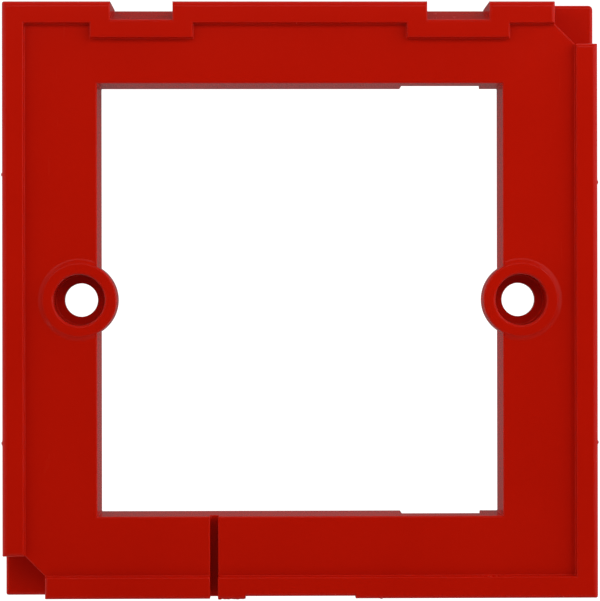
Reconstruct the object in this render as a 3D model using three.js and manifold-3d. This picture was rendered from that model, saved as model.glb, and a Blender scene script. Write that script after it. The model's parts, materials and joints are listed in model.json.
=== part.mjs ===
// Mounting frame of a surface-mounted manual call point: one injection-moulded square frame.
// Two screws through its side bosses hold it on a single-gang back box, and the call point
// then hooks onto the two notches in its top edge.
//
// Millimetres, +Z up. X runs to the right as seen from the front, and the front faces -Y.
// The origin is on the back plane, midway between the two screw axes.

import * as THREE from "three";
import { mergeVertices } from "three/addons/utils/BufferGeometryUtils.js";
import Module from "manifold-3d";

const wasm = await Module();
wasm.setup();

// Overall block
const frameWidth = 81.2;
const frameHeight = 81.4;
const frameDepth = 10;
const cornerRadius = 0.5;
const frontEdgeRound = 0.4;

// Raised rim around the front, and the floor inside it
const rimWidth = 3;
const rimHeight = 1;
const plateThickness = 2;

// Central opening
const openingWidth = 55.4;
const openingHeight = 59.1;

// Walls of the hollow back
const outerWall = 2;
const innerWall = 1.8;
const coreCornerRadius = 0.8;

// Screw bosses
const screwSpacing = 60.3;
const bossDiameter = 10.3;
const bossAboveFloor = 0.4;
const bossLength = 5.4;
const bossBackChamfer = 1;
const screwHeadDiameter = 7;
const screwSeatThickness = 1.4;
const screwHoleDiameter = 4.6;
const boxLugSlotWidth = 8.4;

// Hook notches in the top edge, and the step that the rim makes around each
const notchCentreX = 21.6;
const notchWidth = 8.5;
const notchFrontDepth = 2.6;
const notchBackDepth = 0.2;
const notchSideWall = 2.75;
const notchRimWidth = 2.4;

// Stepped corners, upper right and lower left
const cornerStep = 5.8;
const cornerStepDepth = 5;
const pocketWall = 1.9;

// Drain groove across the bottom bar
const grooveX = -11.8;
const grooveWidth = 1.05;
const grooveBelowFloor = 2.2;
const grooveWall = 1.8;

// Cable notches in the back of the inner wall, above and below the opening
const cableNotchStart = 14.1;
const cableNotchWidth = 11.1;
const cableNotchDepth = 4.5;

// Shallow relief along the bottom edge
const bottomReliefWidth = 15;
const bottomReliefDepth = 0.35;

// Stiffening ribs inside the hollow back
const ribThickness = 1.4;
const ribSetback = 1.5;
const sideRibZ = 16;
const barRibX = 0;

// Witness ridges that the mould's side cores leave on the outer walls
const ridgeRadius = 0.4;
const ridgeHeight = 0.12;
const ridges = [
  { side: "left", at: 17.1 },
  { side: "left", at: -19.5 },
  { side: "right", at: 16 },
  { side: "right", at: -19.5 },
  { side: "bottom", at: -9 },
  { side: "bottom", at: 11 },
];

const roundSegments = 48;
const cornerSegments = 6;
const past = 1; // how far a cutter runs past the face that it opens

// Levels along Y, from the back plane forwards
const halfWidth = frameWidth / 2;
const halfHeight = frameHeight / 2;
const rimTop = -frameDepth;
const floor = rimTop + rimHeight;
const plateBack = floor + plateThickness;
const bossTop = floor - bossAboveFloor;
const bossBack = bossTop + bossLength;
const screwSeat = bossBack - screwSeatThickness;
const stepFloor = rimTop + cornerStepDepth;
const grooveFloor = floor + grooveBelowFloor;

function toSolid(geometry) {
  geometry.deleteAttribute("normal");
  geometry.deleteAttribute("uv");
  const merged = mergeVertices(geometry);
  return new wasm.Manifold(
    new wasm.Mesh({
      numProp: 3,
      vertProperties: merged.attributes.position.array,
      triVerts: new Uint32Array(merged.index.array),
    }),
  );
}

function toGeometry(solid) {
  const mesh = solid.getMesh();
  const geometry = new THREE.BufferGeometry();
  geometry.setAttribute("position", new THREE.BufferAttribute(mesh.vertProperties, 3));
  geometry.setIndex(new THREE.BufferAttribute(mesh.triVerts, 1));
  geometry.computeVertexNormals();
  return geometry;
}

function box(x0, x1, y0, y1, z0, z1) {
  const geometry = new THREE.BoxGeometry(x1 - x0, y1 - y0, z1 - z0);
  geometry.translate((x0 + x1) / 2, (y0 + y1) / 2, (z0 + z1) / 2);
  return toSolid(geometry);
}

// A round bar along Y, with its own radius at each end.
function roundBar(x, z, frontRadius, backRadius, y0, y1) {
  const geometry = new THREE.CylinderGeometry(backRadius, frontRadius, y1 - y0, roundSegments);
  geometry.translate(x, (y0 + y1) / 2, z);
  return toSolid(geometry);
}

// An outline in X and Z, drawn out along Y from y0 to y1.
function prism(outline, y0, y1) {
  const geometry = new THREE.ExtrudeGeometry(outline, {
    depth: y1 - y0,
    bevelEnabled: false,
    curveSegments: cornerSegments,
  });
  geometry.rotateX(Math.PI / 2);
  geometry.translate(0, y1, 0);
  return toSolid(geometry);
}

function roundedRectangle(halfX, halfZ, radius) {
  const shape = new THREE.Shape();
  shape.moveTo(-halfX + radius, -halfZ);
  shape.absarc(halfX - radius, -halfZ + radius, radius, -Math.PI / 2, 0, false);
  shape.absarc(halfX - radius, halfZ - radius, radius, 0, Math.PI / 2, false);
  shape.absarc(-halfX + radius, halfZ - radius, radius, Math.PI / 2, Math.PI, false);
  shape.absarc(-halfX + radius, -halfZ + radius, radius, Math.PI, 1.5 * Math.PI, false);
  return shape;
}

// The full block, its front edge rounded and its back edge square.
function outerBlock() {
  const geometry = new THREE.ExtrudeGeometry(
    roundedRectangle(halfWidth, halfHeight, cornerRadius),
    {
      depth: frameDepth,
      curveSegments: cornerSegments,
      bevelThickness: frontEdgeRound,
      bevelSize: frontEdgeRound,
      bevelOffset: -frontEdgeRound,
      bevelSegments: 4,
    },
  );
  geometry.rotateX(Math.PI / 2);
  geometry.translate(0, frontEdgeRound, 0);
  const keep = box(-frameWidth, frameWidth, rimTop - past, 0, -frameHeight, frameHeight);
  return toSolid(geometry).intersect(keep);
}

// The hollow in front of the floor, with the rim stepping inwards behind each notch.
function frontTray() {
  const tray = prism(
    roundedRectangle(halfWidth - rimWidth, halfHeight - rimWidth, cornerRadius / 2),
    rimTop - past,
    floor,
  );
  return notchBlocks().reduce((left, block) => left.subtract(block), tray);
}

// The wall that surrounds a notch on three sides, as a plain block through the full depth.
function notchBlocks() {
  const half = notchWidth / 2 + notchSideWall;
  const low = halfHeight - notchFrontDepth - notchRimWidth;
  return [-notchCentreX, notchCentreX].map((x) =>
    box(x - half, x + half, rimTop - 2 * past, 2 * past, low, halfHeight),
  );
}

// A notch's cutter: its floor is a ramp, deep at the front and almost nothing at the back.
function notchCutter(x) {
  const rise = (notchFrontDepth - notchBackDepth) / frameDepth;
  const outline = new THREE.Shape();
  outline.moveTo(rimTop - past, halfHeight - notchFrontDepth - rise * past);
  outline.lineTo(past, halfHeight - notchBackDepth + rise * past);
  outline.lineTo(past, halfHeight + past);
  outline.lineTo(rimTop - past, halfHeight + past);
  const geometry = new THREE.ExtrudeGeometry(outline, { depth: notchWidth, bevelEnabled: false });
  const alongX = new THREE.Matrix4().makeBasis(
    new THREE.Vector3(0, 1, 0),
    new THREE.Vector3(0, 0, 1),
    new THREE.Vector3(1, 0, 0),
  );
  geometry.applyMatrix4(alongX);
  geometry.translate(x - notchWidth / 2, 0, 0);
  return toSolid(geometry);
}

// The square taken out of a corner, its inner corner cut off so that the cut joins the ends
// of the two rims. With a wall, the same shape grown by that wall on every inner side.
function cornerOutline(sign, wall) {
  const size = cornerStep + wall;
  const slant = cornerStep + rimWidth + wall * Math.SQRT2;
  const shape = new THREE.Shape();
  const corner = [
    [size, -past],
    [size, slant - size],
    [slant - size, size],
    [-past, size],
    [-past, -past],
  ];
  corner.forEach(([u, v], i) => {
    const x = sign * (halfWidth - u);
    const z = sign * (halfHeight - v);
    if (i === 0) shape.moveTo(x, z);
    else shape.lineTo(x, z);
  });
  return shape;
}

function bosses() {
  const radius = bossDiameter / 2;
  return [-screwSpacing / 2, screwSpacing / 2].map((x) =>
    roundBar(x, 0, radius, radius, bossTop, bossBack - bossBackChamfer).add(
      roundBar(x, 0, radius, radius - bossBackChamfer, bossBack - bossBackChamfer, bossBack),
    ),
  );
}

// Ribs across the hollow back: two in each side bar and one in each of the other two.
function ribs() {
  const half = ribThickness / 2;
  const rib = (x0, x1, z0, z1) => box(x0, x1, plateBack - past, -ribSetback, z0, z1);
  const sides = [-1, 1].flatMap((side) =>
    [-sideRibZ, sideRibZ].map((z) => {
      const inner = side * (openingWidth / 2);
      const outer = side * halfWidth;
      return rib(Math.min(inner, outer), Math.max(inner, outer), z - half, z + half);
    }),
  );
  const bars = [-1, 1].map((side) => {
    const inner = side * (openingHeight / 2);
    const outer = side * halfHeight;
    return rib(barRibX - half, barRibX + half, Math.min(inner, outer), Math.max(inner, outer));
  });
  return [...sides, ...bars];
}

// What the mould's back core fills: the channel between the two walls, less what stands in it.
function backChannel() {
  const outer = prism(
    roundedRectangle(halfWidth - outerWall, halfHeight - outerWall, coreCornerRadius),
    plateBack,
    past,
  );
  const inner = prism(
    roundedRectangle(
      openingWidth / 2 + innerWall,
      openingHeight / 2 + innerWall,
      coreCornerRadius,
    ),
    plateBack - past,
    2 * past,
  );
  const standing = [
    inner,
    ...notchBlocks(),
    ...bosses(),
    ...ribs(),
    prism(cornerOutline(1, pocketWall), rimTop, stepFloor + pocketWall),
    prism(cornerOutline(-1, pocketWall), rimTop, stepFloor + pocketWall),
    box(
      grooveX - grooveWidth / 2 - grooveWall,
      grooveX + grooveWidth / 2 + grooveWall,
      rimTop,
      grooveFloor + grooveWall,
      -halfHeight,
      -openingHeight / 2,
    ),
  ];
  return standing.reduce((left, piece) => left.subtract(piece), outer);
}

// Gaps through the back of the inner wall: one behind each boss, and the cable notches.
function innerWallGaps() {
  const reach = innerWall + past;
  const lugSlots = [-1, 1].map((side) => {
    const face = side * (openingWidth / 2 - past);
    const deep = side * (openingWidth / 2 + reach);
    const half = boxLugSlotWidth / 2;
    return box(Math.min(face, deep), Math.max(face, deep), bossBack, past, -half, half);
  });
  const cableNotches = [-1, 1].map((side) => {
    const face = side * (openingHeight / 2 - past);
    const deep = side * (openingHeight / 2 + reach);
    const end = cableNotchStart + cableNotchWidth;
    return box(
      cableNotchStart,
      end,
      -cableNotchDepth,
      past,
      Math.min(face, deep),
      Math.max(face, deep),
    );
  });
  return [...lugSlots, ...cableNotches];
}

function witnessRidges() {
  const sunk = ridgeRadius - ridgeHeight;
  const place = {
    left: (at) => [-halfWidth + sunk, at],
    right: (at) => [halfWidth - sunk, at],
    bottom: (at) => [at, -halfHeight + sunk],
  };
  return ridges.map(({ side, at }) => {
    const [x, z] = place[side](at);
    return roundBar(x, z, ridgeRadius, ridgeRadius, rimTop + frontEdgeRound, 0);
  });
}

function mountingFrame() {
  const cuts = [
    frontTray(),
    box(
      -openingWidth / 2,
      openingWidth / 2,
      rimTop - past,
      past,
      -openingHeight / 2,
      openingHeight / 2,
    ),
    notchCutter(-notchCentreX),
    notchCutter(notchCentreX),
    prism(cornerOutline(1, 0), rimTop - past, stepFloor),
    prism(cornerOutline(-1, 0), rimTop - past, stepFloor),
    backChannel(),
    box(
      -bottomReliefWidth / 2,
      bottomReliefWidth / 2,
      rimTop - past,
      past,
      -halfHeight - past,
      -halfHeight + bottomReliefDepth,
    ),
    box(
      grooveX - grooveWidth / 2,
      grooveX + grooveWidth / 2,
      rimTop - past,
      grooveFloor,
      -halfHeight - past,
      -openingHeight / 2 + past,
    ),
    ...innerWallGaps(),
  ];
  const additions = [...bosses(), ...witnessRidges()];
  const drillings = [-screwSpacing / 2, screwSpacing / 2].flatMap((x) => [
    roundBar(x, 0, screwHeadDiameter / 2, screwHeadDiameter / 2, bossTop - past, screwSeat),
    roundBar(x, 0, screwHoleDiameter / 2, screwHoleDiameter / 2, screwSeat - past, past),
  ]);
  let solid = outerBlock();
  for (const cut of cuts) solid = solid.subtract(cut);
  for (const addition of additions) solid = solid.add(addition);
  for (const drilling of drillings) solid = solid.subtract(drilling);
  return solid;
}

const redPlastic = new THREE.MeshStandardMaterial({
  color: 0xab1503,
  roughness: 0.35,
  metalness: 0,
});

const frame = new THREE.Mesh(toGeometry(mountingFrame()), redPlastic);
frame.name = "mounting_frame";

const part = new THREE.Group();
part.add(frame);

export default part;
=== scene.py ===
import json
import math

import bmesh
import bpy
from mathutils import Matrix, Vector

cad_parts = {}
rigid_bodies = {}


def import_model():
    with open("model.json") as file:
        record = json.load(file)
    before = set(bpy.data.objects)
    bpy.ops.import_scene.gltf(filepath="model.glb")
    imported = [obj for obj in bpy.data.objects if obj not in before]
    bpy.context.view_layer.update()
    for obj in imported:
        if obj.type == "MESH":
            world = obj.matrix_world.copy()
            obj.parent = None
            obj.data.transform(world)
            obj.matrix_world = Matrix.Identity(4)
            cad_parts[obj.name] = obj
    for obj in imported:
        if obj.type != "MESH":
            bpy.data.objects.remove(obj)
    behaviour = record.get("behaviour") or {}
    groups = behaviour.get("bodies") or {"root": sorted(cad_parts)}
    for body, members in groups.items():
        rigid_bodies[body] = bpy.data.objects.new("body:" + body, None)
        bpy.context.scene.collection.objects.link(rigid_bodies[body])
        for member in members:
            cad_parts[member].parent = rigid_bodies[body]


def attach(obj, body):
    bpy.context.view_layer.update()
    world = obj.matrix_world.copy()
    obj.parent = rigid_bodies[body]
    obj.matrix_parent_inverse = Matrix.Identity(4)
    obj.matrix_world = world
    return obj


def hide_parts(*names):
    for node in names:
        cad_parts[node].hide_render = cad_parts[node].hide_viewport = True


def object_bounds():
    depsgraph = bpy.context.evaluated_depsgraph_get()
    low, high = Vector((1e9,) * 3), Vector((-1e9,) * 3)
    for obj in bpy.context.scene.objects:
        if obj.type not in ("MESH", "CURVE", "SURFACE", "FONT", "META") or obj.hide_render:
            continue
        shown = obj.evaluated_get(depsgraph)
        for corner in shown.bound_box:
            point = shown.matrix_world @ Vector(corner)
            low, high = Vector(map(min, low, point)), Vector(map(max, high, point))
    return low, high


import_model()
cad_low, cad_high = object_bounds()


# ---- The block ----------------------------------------------------------------------------
# The whole mounting frame is one shot of glossy red ABS, so it is one body: a square block,
# and below it what the mould's steel takes away. Sizes are millimetres until it is finished.
# X runs to the right, Z up, and Y from the front at -10 back to the wall at 0.

MM = 0.001
ridge_height = 0.12  # the mould marks on the outer walls, which the CAD box takes in
half_width = cad_high.x / MM - ridge_height
half_height = cad_high.z / MM
rim_top = cad_low.y / MM


def solid(points, faces):
    """A closed mesh, its faces turned outwards."""
    mesh = bpy.data.meshes.new("solid")
    mesh.from_pydata(points, [], faces)
    shell = bmesh.new()
    shell.from_mesh(mesh)
    bmesh.ops.recalc_face_normals(shell, faces=shell.faces)
    shell.to_mesh(mesh)
    shell.free()
    return bpy.data.objects.new("solid", mesh)


def swept(outline, place, start, end):
    """A closed outline of (u, v) pairs, swept from start to end. place turns u, v and the
    distance along the sweep into a point."""
    count = len(outline)
    points = [place(u, v, at) for at in (start, end) for u, v in outline]
    sides = [(i, (i + 1) % count, (i + 1) % count + count, i + count) for i in range(count)]
    return solid(points, [tuple(range(count)), tuple(range(count, 2 * count)), *sides])


def drawn(outline, front, back):
    """An outline in X and Z, drawn through from front to back."""
    return swept(outline, lambda x, z, y: (x, y, z), front, back)


def block(x0, x1, y0, y1, z0, z1):
    x0, x1 = sorted((x0, x1))
    z0, z1 = sorted((z0, z1))
    return drawn([(x0, z0), (x1, z0), (x1, z1), (x0, z1)], y0, y1)


moulding = block(-half_width, half_width, rim_top, 0, -half_height, half_height)
moulding.name = moulding.data.name = "frame_moulding"
bpy.context.collection.objects.link(moulding)


# ---- Hook notches and the raised rim ---------------------------------------------------------
# A rim 3 mm wide stands 1 mm proud of the floor all round. The call point hooks into two
# notches in the top edge, with a floor that ramps up towards the wall, and the rim steps
# inwards to pass round each of them.

rim_width = 3.0
rim_height = 1.0
floor = rim_top + rim_height
notch_centre = 21.6
notch_width = 8.5
notch_front_depth = 2.6
notch_back_depth = 0.2
notch_side_wall = 2.75
notch_rim_width = 2.4
notch_low = half_height - notch_front_depth
jog_low = notch_low - notch_rim_width
jog_half = notch_width / 2 + notch_side_wall
past = 1.0  # how far a cutter runs past the face it opens


def apply_modifiers(body):
    shown = body.evaluated_get(bpy.context.evaluated_depsgraph_get())
    made = bpy.data.meshes.new_from_object(shown)
    body.modifiers.clear()
    body.data = made


def combine(body, tools, operation):
    """Cuts each tool out of body, or joins it on. A body that isn't in the scene stays out."""
    in_scene = bpy.context.collection.objects
    loose = body.name not in in_scene
    if loose:
        in_scene.link(body)
    for tool in tools:
        in_scene.link(tool)
        step = body.modifiers.new("step", "BOOLEAN")
        step.solver = "MANIFOLD"
        step.operation = operation
        step.object = tool
    apply_modifiers(body)
    for tool in tools:
        bpy.data.objects.remove(tool)
    if loose:
        in_scene.unlink(body)


def cut(body, *tools):
    combine(body, tools, "DIFFERENCE")


def notch_blocks():
    """The wall round each notch, as plain blocks through the full depth."""
    return [
        block(x - jog_half, x + jog_half, rim_top - 2 * past, 2 * past, jog_low, half_height)
        for x in (-notch_centre, notch_centre)
    ]


def notch_cutter(centre):
    rise = (notch_front_depth - notch_back_depth) / -rim_top
    outline = [
        (rim_top - past, notch_low - rise * past),
        (past, half_height - notch_back_depth + rise * past),
        (past, half_height + past),
        (rim_top - past, half_height + past),
    ]
    half = notch_width / 2
    return swept(outline, lambda y, z, x: (x, y, z), centre - half, centre + half)


tray = block(
    rim_width - half_width,
    half_width - rim_width,
    rim_top - past,
    floor,
    rim_width - half_height,
    half_height - rim_width,
)
cut(tray, *notch_blocks())
cut(moulding, tray, notch_cutter(-notch_centre), notch_cutter(notch_centre))


# ---- Stepped corners ---------------------------------------------------------------------------
# The upper right and lower left corners drop 5 mm below the rim, where the cover's own
# screw posts pass. A slanted wall joins the ends of the two rims.

corner_step = 5.8
corner_step_depth = 5.0
step_floor = rim_top + corner_step_depth
pocket_wall = 1.9


def corner_outline(sign, wall):
    """The square taken out of a corner, grown on its inner sides by a wall."""
    size = corner_step + wall
    slant = corner_step + rim_width + wall * math.sqrt(2)
    inwards = [
        (size, -past),
        (size, slant - size),
        (slant - size, size),
        (-past, size),
        (-past, -past),
    ]
    return [(sign * (half_width - u), sign * (half_height - v)) for u, v in inwards]


for sign in (1, -1):
    cut(moulding, drawn(corner_outline(sign, 0), rim_top - past, step_floor))


# ---- Opening and drain groove ------------------------------------------------------------------
# The call point's back passes through the opening. A narrow groove, milled into the mould
# as a fin, crosses the bottom bar to let water out.

opening_half_width = 27.7
opening_half_height = 29.55
groove_centre = -11.8
groove_half = 0.525
groove_depth = 2.2
groove_floor = floor + groove_depth
groove_wall = 1.8

cut(
    moulding,
    block(
        -opening_half_width,
        opening_half_width,
        rim_top - past,
        past,
        -opening_half_height,
        opening_half_height,
    ),
    block(
        groove_centre - groove_half,
        groove_centre + groove_half,
        rim_top - past,
        groove_floor,
        -half_height - past,
        -opening_half_height + past,
    ),
)


# ---- Hollow back -----------------------------------------------------------------------------
# The back is cored out to an even wall: an outer and an inner wall around a channel, ribs
# across it, and pockets behind the notches, the stepped corners and the groove. Each boss
# keeps a round pad of plastic, and the inner wall is notched for cables.

plate_thickness = 2.0
plate_back = floor + plate_thickness
outer_wall = 2.0
inner_wall = 1.8
rib_half = 0.7
rib_setback = 1.5
side_rib_height = 16.0
screw_spacing = 60.3
screw_x = screw_spacing / 2
boss_radius = 5.15
boss_above_floor = 0.4
boss_length = 5.4
boss_top = floor - boss_above_floor
boss_back = boss_top + boss_length
lug_slot_half = 4.2
cable_notch_start = 14.1
cable_notch_end = 25.2
cable_notch_depth = 4.5
round_steps = 144


def round_bar(x, z, radius, front, back):
    turns = [2 * math.pi * i / round_steps for i in range(round_steps)]
    outline = [(x + radius * math.cos(a), z + radius * math.sin(a)) for a in turns]
    return drawn(outline, front, back)


def standing_ribs():
    rib_front = plate_back - past
    for side in (-1, 1):
        inner_x = side * opening_half_width
        inner_z = side * opening_half_height
        for height in (-side_rib_height, side_rib_height):
            low, high = height - rib_half, height + rib_half
            yield block(inner_x, side * half_width, rib_front, -rib_setback, low, high)
        yield block(-rib_half, rib_half, rib_front, -rib_setback, inner_z, side * half_height)


channel = block(
    outer_wall - half_width,
    half_width - outer_wall,
    plate_back,
    past,
    outer_wall - half_height,
    half_height - outer_wall,
)
around_opening = block(
    -opening_half_width - inner_wall,
    opening_half_width + inner_wall,
    plate_back - past,
    2 * past,
    -opening_half_height - inner_wall,
    opening_half_height + inner_wall,
)
behind_groove = block(
    groove_centre - groove_half - groove_wall,
    groove_centre + groove_half + groove_wall,
    rim_top,
    groove_floor + groove_wall,
    -half_height,
    -opening_half_height,
)
cut(
    channel,
    around_opening,
    behind_groove,
    *notch_blocks(),
    *standing_ribs(),
    *[drawn(corner_outline(s, pocket_wall), rim_top, step_floor + pocket_wall) for s in (1, -1)],
    *[round_bar(s * screw_x, 0, boss_radius, boss_top, boss_back) for s in (1, -1)],
)
cut(moulding, channel)

for side in (-1, 1):
    wall_x = side * (opening_half_width - past), side * (opening_half_width + inner_wall + past)
    wall_z = side * (opening_half_height - past), side * (opening_half_height + inner_wall + past)
    cut(
        moulding,
        block(*wall_x, boss_back, past, -lug_slot_half, lug_slot_half),
        block(cable_notch_start, cable_notch_end, -cable_notch_depth, past, *wall_z),
    )


# ---- Rounded edges ---------------------------------------------------------------------------
# Every edge of the mould is broken. The rim rolls over softly to the sides and the top, its
# inner edge runs down into the floor in an easy curve, and the back edges are crisp.

front_edge_round = 0.85
outer_corner_round = 0.3
step_corner_round = 0.6
bottom_edge_round = 0.5
rim_end_round = 0.6
rim_edge_round = 0.24
foot_round = 0.18
step_edge_round = 0.55
opening_edge_round = 0.25
plain_round = 0.12
lip_round = 0.06
round_segments = 6
same_place = 0.02
cut_weld = 0.005
flat_angle = math.radians(0.5)
edge_angle = math.radians(15)


def near(value, level):
    return abs(value - level) < same_place


def edge_round(edge):
    """The radius that an edge of the finished moulding is broken with."""
    start, end = (v.co for v in edge.verts)
    middle = (start + end) / 2
    runs_back = abs(end.y - start.y) > 0.9 * (end - start).length
    on_front = near(start.y, rim_top) and near(end.y, rim_top)
    on_floor = near(start.y, floor) and near(end.y, floor)
    on_step = near(start.y, step_floor) and near(end.y, step_floor)
    on_side = near(abs(start.x), half_width) and near(abs(end.x), half_width)
    on_end = near(abs(start.z), half_height) and near(abs(end.z), half_height)
    from_notch = abs(abs(middle.x) - notch_centre)
    in_notch = from_notch < notch_width / 2 + same_place and middle.z > notch_low - 0.1
    rim_end_x = near(start.x, end.x) and near(abs(start.x), half_width - corner_step)
    rim_end_z = near(start.z, end.z) and near(abs(start.z), half_height - corner_step)
    if runs_back and on_side and on_end:
        return step_corner_round if middle.x > 0 and middle.z > 0 else outer_corner_round
    if in_notch and not on_front:
        return lip_round
    if on_front and on_end and middle.z < 0:
        return bottom_edge_round
    if on_front and (on_side or on_end):
        return front_edge_round
    if on_front and (rim_end_x or rim_end_z):
        return rim_end_round
    if on_front:
        return rim_edge_round
    if on_floor:
        return opening_edge_round if edge.is_convex else foot_round
    if on_step:
        return step_edge_round if edge.is_convex else foot_round
    if runs_back and not edge.is_convex and middle.y < floor:
        return foot_round
    return plain_round


shell = bmesh.new()
shell.from_mesh(moulding.data)
bmesh.ops.remove_doubles(shell, verts=shell.verts, dist=cut_weld)
bmesh.ops.dissolve_limit(shell, angle_limit=flat_angle, verts=shell.verts, edges=shell.edges)
weight = shell.edges.layers.float.new("bevel_weight_edge")
for edge in shell.edges:
    if len(edge.link_faces) == 2 and edge.calc_face_angle() > edge_angle:
        edge[weight] = edge_round(edge) / front_edge_round
shell.to_mesh(moulding.data)
shell.free()

rounding = moulding.modifiers.new("rounding", "BEVEL")
rounding.limit_method = "WEIGHT"
rounding.offset_type = "OFFSET"
rounding.width = front_edge_round
rounding.segments = round_segments
rounding.use_clamp_overlap = False
apply_modifiers(moulding)


# ---- Relief along the bottom edge --------------------------------------------------------------
# A shallow relief in the bottom edge lets a screwdriver under the cover. It keeps the
# rounded front edge, set in by its own depth.

relief_half = 7.5
relief_depth = 0.35


def arc(centre_u, centre_v, radius, start, end):
    """Points along an arc, with angles in degrees."""
    turn = (end - start) / round_segments
    angles = [math.radians(start + turn * i) for i in range(round_segments + 1)]
    return [(centre_u + radius * math.cos(a), centre_v + radius * math.sin(a)) for a in angles]


relief_edge = relief_depth - half_height
relief_outline = [
    (past, relief_edge - past),
    (past, relief_edge),
    *arc(rim_top + bottom_edge_round, relief_edge + bottom_edge_round, bottom_edge_round, -90, -180),
    (rim_top - past, relief_edge + bottom_edge_round),
    (rim_top - past, relief_edge - past),
]
cut(moulding, swept(relief_outline, lambda y, z, x: (x, y, z), -relief_half, relief_half))


# ---- Screw bosses ------------------------------------------------------------------------------
# Two round bosses take the fixing screws. Each is a ring that swells out of the floor and
# stands into the opening, with a recess for the screw's head over a thin seat. Its back
# edge is cut away at a slant to clear the back box.

head_radius = 3.5
hole_radius = 2.3
seat_thickness = 1.4
seat = boss_back - seat_thickness
boss_back_chamfer = 1.0
ring_edge_round = 0.32
skirt_inside = 0.5
skirt_outside = 0.6
skirt_root = 0.2
skirt_step = 0.002  # keeps the top of the skirt off the ring's own face
skirt_steps = 12
recess_edge_round = 0.35
seat_round = 0.2
hole_edge_break = 0.1
ring_middle = (head_radius + boss_radius) / 2


def join(body, *tools):
    combine(body, tools, "UNION")


def turned(profile, x):
    """A closed profile of (radius, y) pairs, turned round the screw's axis."""
    count = len(profile)
    turns = [2 * math.pi * i / round_steps for i in range(round_steps)]
    points = [(x + r * math.cos(a), y, r * math.sin(a)) for a in turns for r, y in profile]
    faces = []
    for i in range(round_steps):
        here, there = i * count, (i + 1) % round_steps * count
        for j in range(count):
            k = (j + 1) % count
            faces.append((here + j, here + k, there + k, there + j))
    return solid(points, faces)


boss_profile = [
    *arc(head_radius + recess_edge_round, boss_top + recess_edge_round, recess_edge_round, 180, 270),
    *arc(boss_radius - ring_edge_round, boss_top + ring_edge_round, ring_edge_round, -90, 0),
    (boss_radius, boss_back - boss_back_chamfer),
    (boss_radius - boss_back_chamfer, boss_back),
    (hole_radius + hole_edge_break, boss_back),
    (hole_radius, boss_back - hole_edge_break),
    (hole_radius, seat + hole_edge_break),
    (hole_radius + hole_edge_break, seat),
    *arc(head_radius - seat_round, seat - seat_round, seat_round, 90, 0),
]
skirt_start = boss_radius - skirt_inside
skirt_end = boss_radius + skirt_outside
skirt_profile = [(skirt_start, floor + skirt_root)]
for i in range(skirt_steps + 1):
    share = i / skirt_steps
    fall = (1 - math.cos(math.pi * share)) / 2
    radius = skirt_start + (skirt_end - skirt_start) * share
    skirt_profile.append((radius, boss_top + skirt_step + (floor - boss_top) * fall))
skirt_profile.append((skirt_end, floor + skirt_root))

for side in (-1, 1):
    cut(moulding, round_bar(side * screw_x, 0, ring_middle, rim_top - past, past))
    skirt = turned(skirt_profile, side * screw_x)
    clear_x = side * (opening_half_width + opening_edge_round)
    cut(skirt, block(0, clear_x, rim_top - past, past, -2 * boss_radius, 2 * boss_radius))
    join(moulding, turned(boss_profile, side * screw_x), skirt)


# ---- Mould marks -------------------------------------------------------------------------------
# The side cores leave a fine ridge wherever two of them meet, a little flash has crept out
# where the groove's fin meets the bottom edge, and the ejector pins have left round dents
# in the hollow of the back.

ridge_radius = 0.4
ridge_back = -0.02
ridge_sunk = ridge_radius - ridge_height
ridge_places = [
    (-half_width + ridge_sunk, 17.1),
    (-half_width + ridge_sunk, -19.5),
    (half_width - ridge_sunk, 16.0),
    (half_width - ridge_sunk, -19.5),
    (-9.0, -half_height + ridge_sunk),
    (11.0, -half_height + ridge_sunk),
]
ridge_front = rim_top + front_edge_round
join(moulding, *[round_bar(x, z, ridge_radius, ridge_front, ridge_back) for x, z in ridge_places])

flash_start = groove_centre + groove_half
flash_length = 3.6
flash_front = rim_top + 0.35
flash_back = rim_top + 0.75
flash_root_far = 0.3 - half_height
flash_root_near = 0.5 - half_height
flash_teeth = 12
flash_hang = 0.05
longest_tooth = 1
flash_outline = [(flash_start + flash_length, flash_root_far), (flash_start, flash_root_near)]
for tooth in range(flash_teeth + 1):
    hang = flash_hang + flash_hang * math.sin(2.3 * tooth + 0.4) * math.sin(0.9 * tooth)
    if tooth == longest_tooth:
        hang = ridge_height
    flash_outline.append((flash_start + flash_length * tooth / flash_teeth, -half_height - hang))
join(moulding, drawn(flash_outline, flash_front, flash_back))

pin_radius = 1.25
pin_dent = 0.08
pin_places = [(x, z) for x in (-34.2, 34.2) for z in (-24, -9, 9, 24)]
pin_places += [(x, z) for x in (-8, 8) for z in (-35.2, 35.2)]
pin_front = plate_back - pin_dent
cut(moulding, *[round_bar(x, z, pin_radius, pin_front, plate_back + past) for x, z in pin_places])

last_weld = 0.002 * MM
sharp_angle = math.radians(32)
moulding.data.transform(Matrix.Scale(MM, 4))
shell = bmesh.new()
shell.from_mesh(moulding.data)
bmesh.ops.remove_doubles(shell, verts=shell.verts, dist=last_weld)
bmesh.ops.dissolve_degenerate(shell, dist=last_weld, edges=shell.edges)
for face in shell.faces:
    face.smooth = True
shell.to_mesh(moulding.data)
shell.free()
moulding.data.set_sharp_from_angle(angle=sharp_angle)
shading = moulding.modifiers.new("even_shading", "WEIGHTED_NORMAL")
shading.keep_sharp = True
shading.weight = 100
apply_modifiers(moulding)


# ---- Red plastic -------------------------------------------------------------------------------
# Glossy red ABS straight from a polished mould: a deep, even red with faint flow clouding,
# a slightly wavy gloss where the wall thickness changes, and light handling marks.


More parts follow.
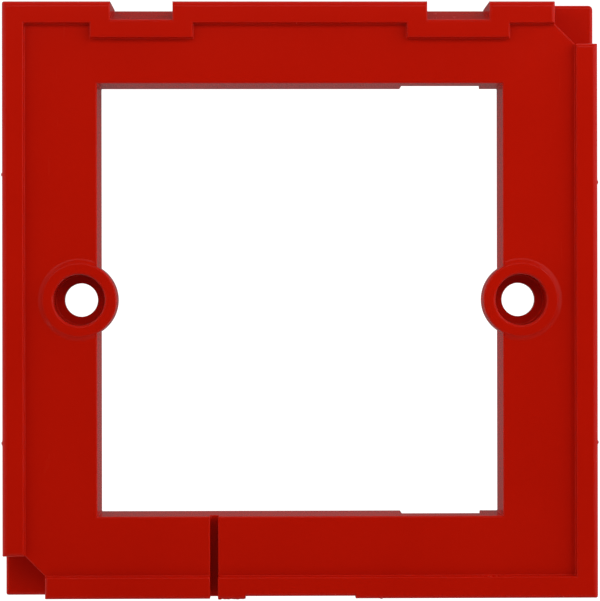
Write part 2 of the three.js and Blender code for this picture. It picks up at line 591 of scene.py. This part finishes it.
class Value:
    """A shader socket that adds Math nodes when it is used in an expression."""

    def __init__(self, tree, socket):
        self.tree = tree
        self.socket = socket

    def maths(self, operation, *values):
        return self.tree.add("ShaderNodeMath", {"operation": operation}, values)

    def __add__(self, other):
        return self.maths("ADD", self, other)

    __radd__ = __add__

    def __mul__(self, other):
        return self.maths("MULTIPLY", self, other)

    __rmul__ = __mul__

    def __sub__(self, other):
        return self.maths("SUBTRACT", self, other)

    def __rsub__(self, other):
        return self.maths("SUBTRACT", other, self)

    def clipped(self, low, high):
        """0 at low and below, 1 at high and above, and smooth between them."""
        settings = {"interpolation_type": "SMOOTHSTEP"}
        return self.tree.add("ShaderNodeMapRange", settings, {0: self, 1: low, 2: high})


class Tree:
    """The node tree of a new material or world."""

    def __init__(self, owner):
        owner.use_nodes = True
        self.nodes = owner.node_tree.nodes
        self.links = owner.node_tree.links
        self.nodes.clear()

    def feed(self, socket, value):
        if isinstance(value, Value):
            self.links.new(value.socket, socket)
        else:
            socket.default_value = value

    def add(self, kind, settings=None, values=(), output=0):
        """A node of this kind, with its settings made first and then its inputs filled."""
        node = self.nodes.new(kind)
        for name, setting in (settings or {}).items():
            setattr(node, name, setting)
        pairs = values.items() if isinstance(values, dict) else enumerate(values)
        for key, value in pairs:
            self.feed(node.inputs[key], value)
        return Value(self, node.outputs[output]) if node.outputs else None


deep_red = (0.400, 0.0046, 0.0003, 1)
fresh_red = (0.455, 0.0058, 0.0004, 1)
scuffed_red = (0.62, 0.10, 0.07, 1)

red_plastic = bpy.data.materials.new("red_abs")
tree = Tree(red_plastic)
place = tree.add("ShaderNodeTexCoord", output="Object")


def cloud(scale, detail, roughness, stretch=(1, 1, 1)):
    """Noise at so many features per metre, from 0 to 1."""
    grid = tree.add("ShaderNodeVectorMath", {"operation": "MULTIPLY"}, {0: place, 1: stretch})
    settings = {"noise_dimensions": "3D"}
    values = {"Vector": grid, "Scale": scale, "Detail": detail, "Roughness": roughness}
    return tree.add("ShaderNodeTexNoise", settings, values)


def mixed(factor, first, second):
    """A colour between two others."""
    settings = {"data_type": "RGBA"}
    return tree.add("ShaderNodeMix", settings, {0: factor, 6: first, 7: second}, 2)


flow = cloud(55, 2, 0.5)
wave = cloud(120, 1, 0.4)
skin = cloud(1500, 2, 0.5)
rubbed = cloud(420, 4, 0.65, (1, 1, 0.25)).clipped(0.56, 0.75)
fine_scratches = cloud(1400, 2, 0.5, (1, 1, 0.05)).clipped(0.68, 0.74)
specks = tree.add(
    "ShaderNodeTexVoronoi", {"feature": "F1"}, {"Vector": place, "Scale": 160.0}
)
dust = (1 - specks.clipped(0.02, 0.045)) * cloud(300, 1, 0.5).clipped(0.62, 0.66)

colour = mixed(dust * 0.5, mixed(flow, deep_red, fresh_red), scuffed_red)
roughness = 0.2 + flow * 0.05 + rubbed * 0.05 + fine_scratches * 0.05 + dust * 0.3
relief = wave * 0.9 + flow * 1.4 + skin * 0.004 - fine_scratches * 0.006
bump = tree.add(
    "ShaderNodeBump", None, {"Strength": 1.0, "Distance": 0.00003, "Height": relief}
)
plastic = tree.add(
    "ShaderNodeBsdfPrincipled",
    None,
    {
        "Base Color": colour,
        "Roughness": roughness,
        "IOR": 1.53,
        "Specular IOR Level": 0.06,
        "Normal": bump,
    },
)
tree.add("ShaderNodeOutputMaterial", None, {"Surface": plastic})

moulding.data.materials.clear()  # the cuts leave an empty slot behind
moulding.data.materials.append(red_plastic)
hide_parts("mounting_frame")
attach(moulding, "root")


# ---- Studio ------------------------------------------------------------------------------------
# A pale floor and a white surround that is seen but lights nothing. A soft box above, one at
# each side and two small low ones light the frame, and the world fills in round its edges.
# The lens is long and square to the frame.

floor_drop = 0.3
floor_half = 0.9
surround_radius = 2.4

floor_corners = [(-1, -1), (1, -1), (1, 1), (-1, 1)]
ground = solid(
    [(x * floor_half, y * floor_half, -floor_drop) for x, y in floor_corners], [(0, 1, 2, 3)]
)
ground.name = "studio_floor"
bpy.context.collection.objects.link(ground)
paper = bpy.data.materials.new("pale_floor")
tree = Tree(paper)
sheet = tree.add(
    "ShaderNodeBsdfPrincipled", None, {"Base Color": (0.85, 0.85, 0.84, 1), "Roughness": 0.9}
)
tree.add("ShaderNodeOutputMaterial", None, {"Surface": sheet})
ground.data.materials.append(paper)

dome_mesh = bpy.data.meshes.new("studio_surround")
dome_shell = bmesh.new()
bmesh.ops.create_icosphere(dome_shell, subdivisions=4, radius=surround_radius)
dome_shell.to_mesh(dome_mesh)
dome_shell.free()
surround = bpy.data.objects.new("studio_surround", dome_mesh)
bpy.context.collection.objects.link(surround)
white = bpy.data.materials.new("white_surround")
tree = Tree(white)
lit = tree.add("ShaderNodeEmission", None, {"Color": (1, 1, 1, 1), "Strength": 1.15})
tree.add("ShaderNodeOutputMaterial", None, {"Surface": lit})
dome_mesh.materials.append(white)
surround.visible_diffuse = False
surround.visible_glossy = False
surround.visible_transmission = False
surround.visible_shadow = False

world = bpy.data.worlds.new("studio")
bpy.context.scene.world = world
tree = Tree(world)
heading = tree.add("ShaderNodeTexCoord", output="Generated")
towards_wall = tree.add("ShaderNodeSeparateXYZ", None, {0: heading}, output="Y")
in_front = 1 - towards_wall.clipped(-0.5, 0)
round_the_sides = towards_wall.clipped(-0.45, -0.1) * (1 - towards_wall.clipped(0.72, 0.88))
behind = towards_wall.clipped(0.9, 0.99)
glow = in_front * 0.12 + round_the_sides + behind * 0.16 + 0.01
sky = tree.add("ShaderNodeBackground", None, {"Color": (1, 1, 1, 1), "Strength": glow})
tree.add("ShaderNodeOutputWorld", None, {"Surface": sky})


def soft_box(name, azimuth, elevation, distance, size, power):
    """An area light aimed at the frame. Azimuth 0 is in front of it and 90 to its right."""
    turn, lift = math.radians(azimuth), math.radians(elevation)
    away = Vector(
        (math.sin(turn) * math.cos(lift), -math.cos(turn) * math.cos(lift), math.sin(lift))
    )
    lamp = bpy.data.lights.new(name, "AREA")
    lamp.shape = "RECTANGLE"
    lamp.size, lamp.size_y = size
    lamp.energy = power
    light = bpy.data.objects.new(name, lamp)
    light.location = away * distance
    light.rotation_mode = "QUATERNION"
    light.rotation_quaternion = away.to_track_quat("Z", "Y")
    bpy.context.collection.objects.link(light)


soft_box("top_box", azimuth=0, elevation=34, distance=0.25, size=(0.4, 0.1), power=0.27)
soft_box("left_box", azimuth=-62, elevation=14, distance=0.35, size=(0.35, 0.35), power=0.38)
soft_box("right_box", azimuth=62, elevation=16, distance=0.35, size=(0.35, 0.35), power=0.77)
soft_box("low_left_box", azimuth=-60, elevation=-33, distance=0.6, size=(0.1, 0.1), power=0.5)
soft_box("low_right_box", azimuth=60, elevation=-33, distance=0.6, size=(0.07, 0.07), power=0.95)

camera_distance = 317.56
camera_across = -3.67
camera_up = -0.754
camera_yaw = 0.0114
camera_pitch = 0.00203
camera_roll = -0.00147
focal_length = 140.11

ahead = Vector(
    (
        math.sin(camera_yaw) * math.cos(camera_pitch),
        math.cos(camera_yaw) * math.cos(camera_pitch),
        math.sin(camera_pitch),
    )
)
right = Vector((math.cos(camera_yaw), -math.sin(camera_yaw), 0))
upward = right.cross(ahead)
rolled_right = math.cos(camera_roll) * right + math.sin(camera_roll) * upward
rolled_up = math.cos(camera_roll) * upward - math.sin(camera_roll) * right
lens = bpy.data.cameras.new("camera")
lens.sensor_fit = "HORIZONTAL"
lens.sensor_width = 36
lens.lens = focal_length
lens.clip_start = 0.01
camera = bpy.data.objects.new("camera", lens)
pose = Matrix((rolled_right, rolled_up, -ahead)).transposed().to_4x4()
pose.translation = Vector((camera_across, rim_top - camera_distance, camera_up)) * MM
camera.matrix_world = pose
bpy.context.collection.objects.link(camera)
bpy.context.scene.camera = camera
bpy.context.scene.view_settings.view_transform = "Standard"
